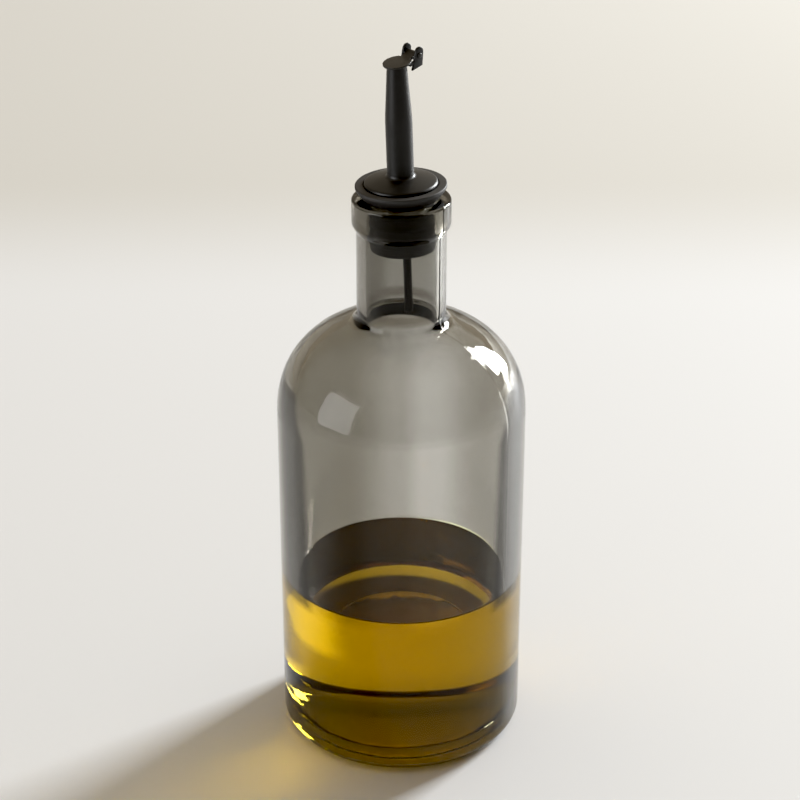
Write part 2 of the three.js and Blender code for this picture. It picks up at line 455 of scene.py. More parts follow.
@dataclass(frozen=True)
class Smoke:
    """How the smoke grey glass is coloured round the bottle, with places and spans in metres.

    Above the oil, painted shade darkens the left and right sides and a painted light streak brightens
    the middle. The neck is darker, more so on its left side. A ring of painted shade darkens its foot, a
    faint painted shade lies on the front of the shoulder, and the wall is darker where it is seen edge
    on, partly painted shade.
    """

    # body and clear are the two ends of the glass's colour. Under the oil an even mix of them is the
    # glass's own tint. Above it, clear gives the painted light streak and body gives the painted shade.
    body: Colour = (0.66, 0.645, 0.60)
    clear: Colour = (1.0, 1.0, 0.985)
    neck_dark: Colour = (0.45, 0.44, 0.41)
    neck_light: Colour = (0.60, 0.595, 0.57)
    # foot is the colour of the ring of painted shade at the neck's foot.
    foot: Colour = (0.36, 0.34, 0.31)
    lip: Colour = (0.27, 0.255, 0.215)
    edge: Colour = (0.09, 0.09, 0.09)
    drift_scale: float = 30
    drift: float = 0.004
    # Where the painted shade on the left and right sides and the painted light streak in the middle
    # start, and how strong they are.
    painted_shade_left_edge: Span = (-0.018, 0.0)
    painted_shade_left_lift: float = 0.58
    painted_light_streak_edge: Span = (-0.001, 0.008)
    painted_light_streak_lift: float = 0.42
    painted_shade_right_edge: Span = (0.012, 0.027)
    painted_shade_right_depth: float = 0.62
    even_share: float = 0.62
    even_blend: float = 0.004
    neck_start: Span = (0.138, 0.150)
    neck_split: Span = (-0.009, -0.003)
    # Where the ring of painted shade in the crease at the neck's foot starts and ends.
    painted_shade_ring_start: Span = (0.1505, 0.1525)
    painted_shade_ring_end: Span = (0.1540, 0.156)
    lip_start: Span = (0.1795, 0.1815)
    # The faint painted shade on the front of the shoulder: where it starts, how far round the front it
    # reaches, and how strong it is.
    painted_shade_shoulder_start: Span = (0.1215, 0.1225)
    painted_shade_front_span: Span = (-0.012, 0.0)
    painted_shade_shoulder_share: float = 0.2
    # The wall darkens where it is seen edge on: partly the long path through it, partly painted shade.
    edge_start: Span = (0.42, 0.50)
    edge_end: Span = (0.72, 0.90)

    def colour(self, look: Finish, hollow: float, level: float) -> bpy.types.NodeSocket:
        """Builds the colour.

        Args:
            look: the material.
            hollow: a radius between the wall's two faces.
            level: the oil's height, under which the glass is even.

        Returns:
            The colour.
        """
        # Above the oil the colour runs from painted shade on the left, through a painted light streak in
        # the middle, to painted shade on the right.
        across = look.axis("X") + look.noise(self.drift_scale, 1) * self.drift - self.drift / 2
        rise = across.ramp(*self.painted_shade_left_edge) * self.painted_shade_left_lift
        rise = rise + across.ramp(*self.painted_light_streak_edge) * self.painted_light_streak_lift
        fall = across.ramp(*self.painted_shade_right_edge) * self.painted_shade_right_depth
        height = look.axis("Z")
        dry = height.ramp(level - self.even_blend, level)
        # thin is the amount of painted light against painted shade. Under the oil it is even.
        thin = (rise - fall) * dry + (1 - dry) * self.even_share
        body = look.tint(thin, self.body, self.clear)
        neck = look.tint(across.ramp(*self.neck_split), self.neck_dark, self.neck_light)
        colour = look.mixed(height.ramp(*self.neck_start), body, neck)
        # A ring of painted shade in the crease at the neck's foot.
        foot = height.ramp(*self.painted_shade_ring_start) * (1 - height.ramp(*self.painted_shade_ring_end))
        colour = look.mixed(foot, colour, (*self.foot, 1))
        colour = look.mixed(height.ramp(*self.lip_start), colour, (*self.lip, 1))
        # A faint painted shade over the front of the shoulder, in the lip colour.
        front = 1 - look.axis("Y").ramp(*self.painted_shade_front_span)
        dome = height.ramp(*self.painted_shade_shoulder_start) * front * self.painted_shade_shoulder_share
        colour = look.mixed(dome, colour, (*self.lip, 1))
        # Above the oil, the outer wall darkens where it is seen edge on: partly the long path through
        # it, partly painted shade.
        facing = Sum(look.tree, look.node("ShaderNodeLayerWeight", Blend=0.5).outputs["Facing"])
        rim = facing.ramp(*self.edge_start) * (1 - facing.ramp(*self.edge_end))
        return look.mixed(rim * look.radius().above(hollow) * dry, colour, (*self.edge, 1))


@dataclass(frozen=True)
class SmokedGlass:
    """Grey tinted glass, plain where air touches it and nearly unseen where oil does."""

    smoke: Smoke = Smoke()
    waves: Waves = Waves()
    index: float = 1.52
    oil_index: float = 1.47
    gloss: Colour = (0.35, 0.35, 0.35)
    colour: Colour = (0.53, 0.515, 0.485)
    density: float = 101

    def made(self, hollow: float, floor: float, level: float) -> bpy.types.Material:
        """Builds the material.

        Args:
            hollow: a radius between the wall's two faces, in metres.
            floor: a height between the floor's two faces.
            level: the height up to which oil touches the glass.

        Returns:
            The material.
        """
        look = Finish("smoked glass")
        colour = self.smoke.colour(look, hollow, level)
        in_air = look.skin(
            Base_Color=colour, Roughness=0, IOR=self.index, Transmission_Weight=1,
            Specular_Tint=(*self.gloss, 1), Normal=self.waves.normal(look),
        )
        in_oil = look.skin(
            Base_Color=colour, Roughness=0, IOR=self.index / self.oil_index, Transmission_Weight=1
        )
        height = look.axis("Z")
        wet = look.radius().below(hollow) * height.above(floor) * height.below(level)
        look.split(wet, in_air, in_oil)
        look.filled(self.colour, self.density)
        return look.material


@dataclass(frozen=True)
class GoldenOil:
    """Clear golden oil. Its sides lie in the glass, so they bend no light."""

    index: float = 1.47
    colour: Colour = (0.99, 0.894, 0.06)
    density: float = 80

    def made(self, rim: float, floor: float) -> bpy.types.Material:
        """Builds the material.

        Args:
            rim: the radius past which the oil lies in the glass, in metres.
            floor: a height well under the oil's level and above its underside.

        Returns:
            The material.
        """
        look = Finish("golden oil")
        white = (1, 1, 1, 1)
        surface = look.skin(Base_Color=white, Roughness=0, IOR=self.index, Transmission_Weight=1)
        hidden = look.skin(Base_Color=white, Roughness=0, IOR=1.0, Transmission_Weight=1)
        look.split(look.radius().below(rim) * look.axis("Z").above(floor), hidden, surface)
        look.filled(self.colour, self.density)
        return look.material


@dataclass(frozen=True)
class MattRubber:
    """Black moulded rubber, slightly grey where it is rubbed."""

    low: Colour = (0.020, 0.019, 0.018)
    high: Colour = (0.036, 0.034, 0.033)
    roughness: float = 0.5
    patch_roughness: float = 0.14
    grain_roughness: float = 0.06
    patch_scale: float = 160
    grain_scale: float = 2600
    grain_depth: float = 0.00002
    specular: float = 0.5

    def made(self) -> bpy.types.Material:
        """Builds the material."""
        look = Finish("matt rubber")
        grain = look.noise(self.grain_scale, 3)
        patch = look.noise(self.patch_scale, 3)
        look.shown(
            look.skin(
                Base_Color=look.tint(patch, self.low, self.high),
                Roughness=self.roughness + patch * self.patch_roughness + grain * self.grain_roughness,
                Normal=look.bump(grain, self.grain_depth),
                Specular_IOR_Level=self.specular,
            )
        )
        return look.material


@dataclass(frozen=True)
class SatinCoating:
    """A thin black coating, satin, with a fine orange-peel relief."""

    name: str = "satin coating"
    low: Colour = (0.010, 0.010, 0.010)
    high: Colour = (0.020, 0.019, 0.018)
    roughness: float = 0.34
    patch_roughness: float = 0.1
    patch_scale: float = 220
    peel_scale: float = 1500
    peel_depth: float = 0.000012
    specular: float = 0.35

    def made(self) -> bpy.types.Material:
        """Builds the material."""
        look = Finish(self.name)
        peel = look.noise(self.peel_scale, 2)
        patch = look.noise(self.patch_scale, 3)
        look.shown(
            look.skin(
                Base_Color=look.tint(patch, self.low, self.high),
                Roughness=self.roughness + patch * self.patch_roughness,
                Normal=look.bump(peel, self.peel_depth),
                Specular_IOR_Level=self.specular,
            )
        )
        return look.material


@dataclass(frozen=True)
class Bottle:
    """The glass: body, shoulder, neck and lip, hollow inside, with a raised underside."""

    body_radius: float = 40.5
    wall: float = 5.3
    height: float = 189.8
    heel_radius: float = 5.5
    ring_radius: float = 25.5
    ring_step: float = 0.5
    push_up: float = 1.6
    push_up_radius: float = 14.0
    push_up_fall: float = 0.45
    ring_slope: tuple[float, float] = (0.5, 0.12)
    ring_bend: tuple[float, float] = (0.15, 0.05)
    ring_land: float = 0.1
    floor_thickness: float = 6.0
    floor_corner: float = 6.5
    shoulder_start: float = 115.8
    shoulder_height: float = 33.8
    shoulder_power: float = 2.28
    shoulder_tangent: float = 0.99
    inner_shoulder_height: float = 29.6
    neck_radius: float = 14.3
    bore_radius: float = 11.3
    neck_fillet: float = 3.2
    lip_radius: float = 15.7
    lip_height: float = 8.3
    lip_chamfer: float = 2.4
    lip_round: float = 0.9
    lip_soft: float = 0.5
    lip_slant: float = 0.275
    lip_bend: tuple[float, float] = (0.1, 0.8)
    chamfer_bend: tuple[float, float] = (0.4, 0.55)
    seam_turn: float = 57
    seam_half_width: float = 0.7
    seam_height: float = 0.13
    seam_inset: float = 2
    seam_outward: float = 0.1
    floor_wave: float = 0.3
    floor_wave_scale: float = 0.09
    floor_wave_reach: float = 26
    floor_wave_margin: float = 0.5
    segments: int = 192

    @property
    def inner_radius(self) -> float:
        """The hollow's radius in the body."""
        return self.body_radius - self.wall

    @property
    def wall_middle(self) -> float:
        """A radius between the wall's two faces."""
        return self.inner_radius + self.wall / 2

    @property
    def floor_middle(self) -> float:
        """A height between the floor's two faces."""
        return self.push_up * 2

    def shoulder(
        self, outline: Outline, radius: float, height: float, neck: float, steps: int
    ) -> Outline:
        """Adds the shoulder, a squared ellipse, and its bend into the neck.

        Args:
            outline: the outline that it goes on.
            radius: the body's radius.
            height: the height of the whole ellipse.
            neck: the neck's radius.
            steps: how many chords the ellipse has.

        Returns:
            The outline.
        """
        power = 2 / self.shoulder_power
        end = math.acos(((neck + self.neck_fillet) / radius) ** (1 / power))

        def point(t: float) -> tuple[float, float]:
            """The ellipse's point at a share of its way."""
            angle = end * t
            return (
                radius * math.cos(angle) ** power,
                self.shoulder_start + height * math.sin(angle) ** power,
            )

        outline.follow(point, steps)
        (near_radius, near_height), (last_radius, last_height) = point(self.shoulder_tangent), point(1)
        slope = (last_height - near_height) / (near_radius - last_radius)
        corner = last_height + (last_radius - neck) * slope
        return outline.swing((neck, corner), (neck, corner + self.neck_fillet), 10)

    def outside(self) -> Outline:
        """The outline from the underside's middle up to the mouth."""
        lip_foot = self.height - self.lip_height
        chamfer = lip_foot - self.lip_chamfer
        ring = self.ring_radius - self.ring_step
        slope_out, slope_up = self.ring_slope
        bend_in, bend_up = self.ring_bend
        chamfer_out, chamfer_up = self.chamfer_bend
        lip_low, lip_high = self.lip_bend
        line = Outline().to(0, self.push_up)
        line.follow(lambda t: (self.push_up_radius * t, self.push_up - self.push_up_fall * t**2), 6)
        line.to(ring - slope_out, self.ring_step + slope_up)
        line.to(ring, self.ring_step)
        line.to(self.ring_radius - bend_in, bend_up)
        line.to(self.ring_radius + self.ring_land, 0)
        line.arc(self.body_radius - self.heel_radius, self.heel_radius, self.heel_radius, -90, 0, 14)
        self.shoulder(line, self.body_radius, self.shoulder_height, self.neck_radius, 40)
        line.to(self.neck_radius, chamfer - chamfer_out)
        line.swing(
            (self.neck_radius, chamfer), (self.neck_radius + chamfer_out, chamfer + chamfer_up), 4
        )
        line.to(self.lip_radius - self.lip_slant, lip_foot - self.lip_soft)
        line.swing((self.lip_radius, lip_foot + lip_low), (self.lip_radius, lip_foot + lip_high), 5)
        centre = self.lip_radius - self.lip_round
        return line.arc(centre, self.height - self.lip_round, self.lip_round, 0, 90)

    def inside(self) -> Outline:
        """The outline from the hollow's floor up to the mouth."""
        corner = self.floor_corner
        line = Outline().to(0, self.floor_thickness)
        line.follow(lambda t: ((self.inner_radius - corner) * t, self.floor_thickness), 12)
        line.arc(self.inner_radius - corner, self.floor_thickness + corner, corner, -90, 0, 14)
        self.shoulder(line, self.inner_radius, self.inner_shoulder_height, self.bore_radius, 36)
        centre = self.bore_radius + self.lip_round
        return line.arc(centre, self.height - self.lip_round, self.lip_round, 180, 90)

    def seam(self, form: Form) -> None:
        """Raises the two fine mould seams along the outside."""
        bm = form.bm
        turn = math.radians(self.seam_turn)
        along = Vector((math.sin(turn), -math.cos(turn), 0))
        across = Vector((math.cos(turn), math.sin(turn), 0))
        for side in (-1, 0, 1):
            bmesh.ops.bisect_plane(
                bm, geom=bm.verts[:] + bm.edges[:] + bm.faces[:], dist=MERGE,
                plane_co=across * side * self.seam_half_width, plane_no=across,
            )
        bm.normal_update()
        raised = [
            v for v in bm.verts
            if abs(v.co.dot(across)) < 10 * MERGE
            and v.co.z > self.heel_radius
            and v.normal.dot(Vector((v.co.x, v.co.y, 0))) > self.seam_outward
            and Vector((v.co.x, v.co.y)).length > self.lip_radius - self.seam_inset
        ]
        for v in raised:
            v.co += along * math.copysign(self.seam_height, v.co.dot(along))

    def worn(self, form: Form) -> None:
        """Lets the hollow's floor and lower wall wander a little, as pressed glass does."""
        reach = self.floor_wave_reach
        for v in form.bm.verts:
            radius = Vector((v.co.x, v.co.y)).length
            inner = v.co.z > self.floor_middle and radius < self.inner_radius + self.floor_wave_margin
            if inner and v.co.z < reach:
                share = 1 - v.co.z / reach
                v.co.z += self.floor_wave * share * noise.noise(v.co * self.floor_wave_scale)

    def built(self) -> bpy.types.Object:
        """Builds the bottle's mesh."""
        line = self.outside()
        line.points.extend(reversed(self.inside().points))
        form = Form.turned(line, self.segments)
        self.worn(form)
        self.seam(form)
        return form.finished("bottle_glass")


@dataclass(frozen=True)
class Oil:
    """The oil in the bottle, up to its level, with the edge drawn up the wall."""

    bottle: Bottle
    level: float = 56.6
    reach: float = 0.35
    edge_rise: float = 1.0
    edge_width: float = 1.9
    edge_bend: tuple[float, float] = (0.05, 0.02)
    side_margin: float = 0.01
    top_margin: float = 1
    segments: int = 192

    @property
    def wet_height(self) -> float:
        """The height up to which it touches the wall."""
        return self.level + self.edge_rise

    @property
    def side_radius(self) -> float:
        """The radius past which it lies in the glass."""
        return self.bottle.inner_radius + self.side_margin

    @property
    def under_top(self) -> float:
        """A height between its underside and its level."""
        return self.level - self.top_margin

    def built(self) -> bpy.types.Object:
        """Builds the oil's mesh, which reaches just into the wall."""
        glass = self.bottle
        radius = glass.inner_radius
        bottom = glass.floor_thickness - self.reach
        corner = glass.floor_corner
        line = Outline().to(0, bottom)
        line.follow(lambda t: ((radius - corner) * t, bottom), 6)
        line.arc(radius - corner, glass.floor_thickness + corner, corner + self.reach, -90, 0, 14)
        line.to(radius + self.reach, self.wet_height)
        line.to(radius, self.wet_height)
        bend_in, bend_up = self.edge_bend
        line.swing((radius - bend_in, self.level + bend_up), (radius - self.edge_width, self.level), 8)
        line.to(radius / 2, self.level).to(0, self.level)
        return Form.turned(line, self.segments).finished("oil_fill")


@dataclass(frozen=True)
class Pourer:
    """Where the stopper and all it carries stand: about the lip, leaning left and forward."""

    height: float = 189.8
    lean_left: float = 1.9
    lean_forward: float = 0.8

    @property
    def place(self) -> Matrix:
        """The pourer's own frame, with its origin in the plane of the lip."""
        lean = Matrix.Rotation(math.radians(self.lean_forward), 4, "X")
        side = Matrix.Rotation(math.radians(-self.lean_left), 4, "Y")
        return Matrix.Translation((0, 0, self.height)) @ lean @ side


@dataclass(frozen=True)
class Stopper:
    """The rubber stopper: a tapered flange over the lip, and a ribbed plug in the neck."""

    flange_radius: float = 14.4
    flange_top: float = 4.6
    flange_edge: float = 1.0
    flange_bottom: float = 0.75
    foot_radius: float = 12.4
    seat_radius: float = 11.9
    seat_depth: float = 0.6
    hole_radius: float = 4.5
    plug_radius: float = 10.3
    plug_depth: float = 16.4
    plug_round: float = 1.4
    rib_radius: float = 10.65
    rib_heights: tuple[float, ...] = (-10.5, -7.0, -3.5)
    rib_half_height: float = 0.55
    rib_crown: float = 0.6
    foot_bend: tuple[float, float] = (0.2, 0.3)
    edge_bend: tuple[float, float] = (0.2, 0.25)
    top_round: float = 0.35
    seat_bevel: float = 0.1
    segments: int = 128

    def built(self, place: Matrix) -> bpy.types.Object:
        """Builds the stopper's mesh at its place."""
        half = self.rib_half_height
        crown = half * self.rib_crown
        turn = self.plug_round
        line = Outline().to(self.hole_radius, -self.plug_depth)
        line.arc(self.plug_radius - turn, turn - self.plug_depth, turn, -90, 0)
        for height in self.rib_heights:
            line.to(self.plug_radius, height - 2 * half)
            line.swing((self.plug_radius, height - half), (self.rib_radius, height - crown), 4)
            line.to(self.rib_radius, height + crown)
            line.swing((self.plug_radius, height + half), (self.plug_radius, height + 2 * half), 4)
        low, foot, (out, up) = self.flange_bottom, self.foot_radius, self.foot_bend
        line.to(self.plug_radius, low).to(foot - out, low)
        line.swing((foot, low), (foot + out, low + up), 4)
        edge, (out, up) = self.flange_top - self.flange_edge, self.edge_bend
        line.to(self.flange_radius - out, edge - up)
        line.swing((self.flange_radius, edge), (self.flange_radius, edge + up), 4)
        soft = self.top_round
        line.arc(self.flange_radius - soft, self.flange_top - soft, soft, 0, 90, 6)
        line.to(self.seat_radius + self.seat_bevel, self.flange_top)
        line.to(self.seat_radius, self.flange_top - self.seat_bevel)
        line.to(self.seat_radius, self.flange_top - self.seat_depth)
        line.to(self.hole_radius, self.flange_top - self.seat_depth)
        line.to(self.hole_radius, -self.plug_depth)
        return Form.turned(line, self.segments).placed(place).finished("stopper_rubber")


@dataclass(frozen=True)
class Mouth:
    """The spout's slanted mouth, and the hinge on its high side."""

    height: float = 43.9
    slope: float = 8.5
    turn: float = 42
    pin_x: float = 6.7
    pin_z: float = 0.15
    ear_inner: float = 2.35
    ear_thickness: float = 0.75

    @property
    def place(self) -> Matrix:
        """The mouth's frame in the pourer's: x towards the hinge, z out of the mouth."""
        turned = Matrix.Rotation(math.radians(self.turn), 4, "Z")
        tilted = Matrix.Rotation(math.radians(-self.slope), 4, "Y")
        return Matrix.Translation((0, 0, self.height)) @ turned @ tilted

    @property
    def ear_outer(self) -> float:
        """How far the ears' outer faces are from the middle."""
        return self.ear_inner + self.ear_thickness


@dataclass(frozen=True)
class Spout:
    """The metal spout: stem, dome, narrowing tube, and the clevis for the flap."""

    mouth: Mouth
    tube_radius: float = 4.2
    channel_radius: float = 2.8
    mouth_radius: float = 3.0
    bore_radius: float = 2.1
    bore_depth: float = 6
    dome_radius: float = 11.6
    dome_edge: float = 0.4
    dome_round: float = 1.0
    dome_bottom: float = 4.3
    dome_lip: float = 0.25
    dome_turn: float = 75
    dome_crown: float = 0.12
    foot_height: float = 7.05
    foot_fillet: float = 1.2
    foot_turn: float = 105
    knee_height: float = 25.7
    knee_bend: float = 2
    stem_bottom: float = -16.15
    slant_allowance: float = 1.5
    mouth_plane: float = -0.9
    ear_top: tuple[float, float] = (6.95, 1.15)
    ear_top_radius: float = 1.55
    ear_foot_inner: tuple[float, float] = (3.1, -3.6)
    ear_foot_outer: tuple[float, float] = (7.35, -3.3)
    web_start: float = 2.6
    web_end: float = 4.1
    web_depth: float = 1.1
    soft: float = 0.14
    segments: int = 96

    def tube(self) -> bpy.types.Object:
        """Builds the stem, dome and tube, with the mouth cut at its slant."""
        top = self.mouth.height + self.slant_allowance
        narrowing = (self.tube_radius - self.mouth_radius) / (self.mouth.height - self.knee_height)
        foot = self.tube_radius + self.foot_fillet
        edge = self.dome_bottom + self.dome_edge
        line = Outline().to(self.channel_radius, self.stem_bottom)
        line.to(self.tube_radius, self.stem_bottom)
        line.to(self.tube_radius, self.dome_bottom)
        line.to(self.dome_radius - self.dome_lip, self.dome_bottom)
        line.arc(self.dome_radius - self.dome_round, edge, self.dome_round, 0, self.dome_turn)
        start_radius, start_height = line.points[-1]
        crown = (start_height + self.foot_height) / 2 + self.dome_crown
        line.swing(((start_radius + foot) / 2, crown), (foot, self.foot_height), 8)
        line.arc(foot, self.foot_height + self.foot_fillet, self.foot_fillet, -self.foot_turn, -180)
        knee, bend = self.knee_height, self.knee_bend
        line.to(self.tube_radius, knee - bend)
        line.swing((self.tube_radius, knee), (self.tube_radius - narrowing * bend, knee + bend), 6)
        line.to(self.tube_radius - narrowing * (top - self.knee_height), top)
        line.to(self.bore_radius, top)
        line.to(self.bore_radius, self.mouth.height - self.bore_depth)
        line.to(self.channel_radius, self.knee_height)
        line.to(self.channel_radius, self.stem_bottom)
        form = Form.turned(line, self.segments)
        bm = form.bm
        plane = self.mouth.place
        normal = plane.to_3x3() @ Vector((0, 0, 1))
        cut = bmesh.ops.bisect_plane(
            bm, geom=bm.verts[:] + bm.edges[:] + bm.faces[:], dist=MERGE,
            plane_co=plane @ Vector((0, 0, self.mouth_plane)), plane_no=normal, clear_outer=True,
        )["geom_cut"]
        rims = [e for e in cut if isinstance(e, bmesh.types.BMEdge)]
        bmesh.ops.bridge_loops(bm, edges=rims)
        bmesh.ops.recalc_face_normals(bm, faces=bm.faces)
        return form.finished("spout_tube")

    def ear(self) -> Outline:
        """The outline of one ear: a slanted tab with a round top."""
        top_x, top_z = self.ear_top

        def tangent(foot: tuple[float, float], side: int) -> float:
            """The angle at which a straight side from a foot meets the round top."""
            reach = math.hypot(top_x - foot[0], top_z - foot[1])
            towards = math.atan2(top_z - foot[1], top_x - foot[0])
            turn = math.pi / 2 + math.asin(self.ear_top_radius / reach)
            return math.degrees(towards + side * turn)

        line = Outline().to(*self.ear_foot_inner).to(*self.ear_foot_outer)
        start, end = tangent(self.ear_foot_outer, -1), tangent(self.ear_foot_inner, 1)
        return line.arc(top_x, top_z, self.ear_top_radius, start, end, 24)

    def clevis(self) -> bpy.types.Object:
        """Builds the two ears and the web between their feet."""
        inner, outer = self.mouth.ear_inner, self.mouth.ear_outer
        ears = Form.slab(self.ear(), inner, outer).softened(self.soft).finished("clevis")
        other = Form.slab(self.ear(), -outer, -inner).softened(self.soft).finished("clevis_far")
        top = self.mouth_plane
        web = Outline().to(self.web_start, top - self.web_depth).to(self.web_end, top - self.web_depth)
        web.to(self.web_end, top).to(self.web_start, top)
        bridge = Form.slab(web, -outer + self.soft, outer - self.soft).finished("clevis_web")
        return combined(combined(ears, other, "UNION"), bridge, "UNION")

    def built(self, place: Matrix) -> bpy.types.Object:
        """Builds the spout at its place."""
        tube = self.tube()
        clevis = self.clevis()
        in_metres = Matrix.Scale(MM, 4)
        clevis.data.transform(in_metres @ self.mouth.place @ in_metres.inverted())
        spout = combined(tube, clevis, "UNION")
        spout.name = "spout_metal"
        spout.data.transform(in_metres @ place @ in_metres.inverted())
        return spout


@dataclass(frozen=True)
class Flap:
    """The lid over the mouth, with a tongue that curves up to the knuckle round the pin."""

    mouth: Mouth
    lid_radius: float = 4.45
    thickness: float = 0.6
    shift: float = 0.15
    tongue_half_width: float = 2.0
    tongue_start: float = 2.4
    tongue_bend: float = 3.4
    tongue_heel: float = 4.9
    bend_control: tuple[float, float] = (4.6, 0.1)
    knuckle_radius: float = 0.95
    knuckle_bore: float = 0.51
    knuckle_from: float = -70
    knuckle_to: float = 140
    notch_radius: float = 3.1
    notch_width: float = 3
    bore_margin: float = 1
    soft: float = 0.16
    segments: int = 96
    rod_segments: int = 48

    def rod(self, radius: float, low: float, high: float, name: str) -> bpy.types.Object:
        """A cylinder about the pin's line from y = low to y = high."""
        last = 360 - 360 / self.rod_segments
        pin_x, pin_z = self.mouth.pin_x, self.mouth.pin_z
        line = Outline().arc(pin_x, pin_z, radius, 0, last, self.rod_segments - 1)
        return Form.slab(line, low, high).finished(name)

    def lid(self) -> bpy.types.Object:
        """Builds the thin round lid."""
        soft = self.soft
        edge = self.lid_radius - soft
        line = Outline().to(0, -self.thickness)
        line.arc(edge, soft - self.thickness, soft, -90, 0, 4).arc(edge, -soft, soft, 0, 90, 5)
        line.to(0, 0)
        shift = Matrix.Translation((self.shift, 0, 0))
        return Form.turned(line, self.segments).placed(shift).finished("lid")

    def tongue(self) -> bpy.types.Object:
        """Builds the tongue and its knuckle."""
        pin_x, pin_z = self.mouth.pin_x, self.mouth.pin_z
        line = Outline().to(self.tongue_start, -self.thickness).to(self.tongue_heel, -self.thickness)
        line.arc(pin_x, pin_z, self.knuckle_radius, self.knuckle_from, self.knuckle_to, 24)
        line.swing(self.bend_control, (self.tongue_bend, 0), 10).to(self.tongue_start, 0)
        half = self.tongue_half_width
        return Form.slab(line, -half, half).finished("tongue")

    def built(self, place: Matrix) -> bpy.types.Object:
        """Builds the flap at its place."""
        half, wide = self.tongue_half_width, self.tongue_half_width + self.notch_width
        flap = self.lid()
        flap = combined(flap, self.rod(self.notch_radius, half, wide, "notch"), "DIFFERENCE")
        flap = combined(flap, self.rod(self.notch_radius, -wide, -half, "notch"), "DIFFERENCE")
        flap = combined(flap, self.tongue(), "UNION")
        end = half + self.bore_margin
        flap = combined(flap, self.rod(self.knuckle_bore, -end, end, "bore"), "DIFFERENCE")
        flap.name = "flap_lid"
        in_metres = Matrix.Scale(MM, 4)
        flap.data.transform(in_metres @ place @ self.mouth.place @ in_metres.inverted())
        return flap


@dataclass(frozen=True)
class HingePin:
    """The pin through the ears and the knuckle, with a round head at each end."""

    mouth: Mouth
    radius: float = 0.4
    head_radius: float = 0.8
    head_flat: float = 0.3
    head_thickness: float = 0.35
    gap: float = 0.15
    segments: int = 32

    def built(self, place: Matrix) -> bpy.types.Object:
        """Builds the pin at its place."""
        start = self.mouth.ear_outer + self.gap
        end = start + self.head_thickness
        line = Outline().to(0, -end).to(self.head_flat, -end)
        line.swing((self.head_radius, -end), (self.head_radius, -start), 6)
        line.to(self.radius, -start).to(self.radius, start).to(self.head_radius, start)
        line.swing((self.head_radius, end), (self.head_flat, end), 6)
        line.to(0, end)
        lying = Matrix.Rotation(math.radians(90), 4, "X")
        spot = Matrix.Translation((self.mouth.pin_x, 0, self.mouth.pin_z))
        where = place @ self.mouth.place @ spot @ lying
        return Form.turned(line, self.segments).placed(where).finished("pin_metal")


@dataclass(frozen=True)
class VentTube:
    """The thin tube that lets air in, open at both ends."""

    radius: float = 1.33
    bore: float = 0.8
    shift: float = 1.15
    bottom: float = -38.1
    top: float = 22
    soft: float = 0.15
    segments: int = 40

    def built(self, place: Matrix) -> bpy.types.Object:
        """Builds the tube at its place."""
        line = Outline().to(self.bore, self.bottom).to(self.radius - self.soft, self.bottom)
        line.to(self.radius, self.bottom + self.soft).to(self.radius, self.top - self.soft)
        line.to(self.radius - self.soft, self.top).to(self.bore, self.top).to(self.bore, self.bottom)
        shift = Matrix.Translation((self.shift, 0, 0))
        return Form.turned(line, self.segments).placed(place @ shift).finished("vent_plastic")


@dataclass(frozen=True)
class Window:
    """A soft light as large as a window, aimed at the bottle."""

    name: str
    towards: Place
    distance: float
    width: float
    height: float
    power: float
    colour: Colour
    lights_table: bool = True
    mirrored: bool = True
    aim: Place = (0, 0, 0.09)

    def lit(self) -> None:
        """Adds the light."""
        lamp = bpy.data.lights.new(self.name, "AREA")
        lamp.shape = "RECTANGLE"
        lamp.size, lamp.size_y = self.width, self.height
        lamp.energy = self.power
        lamp.color = self.colour
        item = bpy.data.objects.new(self.name, lamp)
        way = Vector(self.towards).normalized()
        item.location = Vector(self.aim) + way * self.distance
        item.rotation_euler = way.to_track_quat("Z", "Y").to_euler()
        item.visible_diffuse = self.lights_table
        item.visible_glossy = self.mirrored
        bpy.context.scene.collection.objects.link(item)


@dataclass(frozen=True)
class Glow:
    """A patch of light on the floor behind the bottle that only glass and oil show.

    It fans out from a point under the bottle's back, with soft edges, between two slopes of x to y.
    """

    radiance: float = 1.15
    colour: Colour = (0.91, 1, 0.55)
    size: float = 0.05
    place: Place = (0.018, 0.073, 0.0004)
    fan_from: tuple[float, float] = (-0.0065, 0.0395)
    fan_slopes: Span = (0.37, 0.62)
    near_edge: Span = (0.054, 0.061)

    def lit(self) -> None:
        """Adds the light."""
        lamp = bpy.data.lights.new("glow behind the bottle", "AREA")
        lamp.size = self.size
        lamp.energy = self.radiance * math.pi * self.size**2
        lamp.color = self.colour
        lamp.use_nodes = True
        patch = Graph(lamp.node_tree, "ShaderNodeOutputLight")
        here = patch.node("ShaderNodeNewGeometry").outputs["Position"]
        sides = patch.node("ShaderNodeSeparateXYZ", Vector=here)
        x, y = (Sum(patch.tree, sides.outputs[key]) for key in "XY")
        from_x, from_y = self.fan_from
        fan = ((x - from_x) / (y - from_y)).ramp(*self.fan_slopes)
        strength = fan * y.ramp(*self.near_edge)
        patch.shown(patch.node("ShaderNodeEmission", Strength=strength).outputs[0])
        item = bpy.data.objects.new(lamp.name, lamp)
        item.location = self.place
        item.rotation_euler = (math.pi, 0, 0)
        item.visible_camera = item.visible_diffuse = item.visible_glossy = False
        bpy.context.scene.collection.objects.link(item)


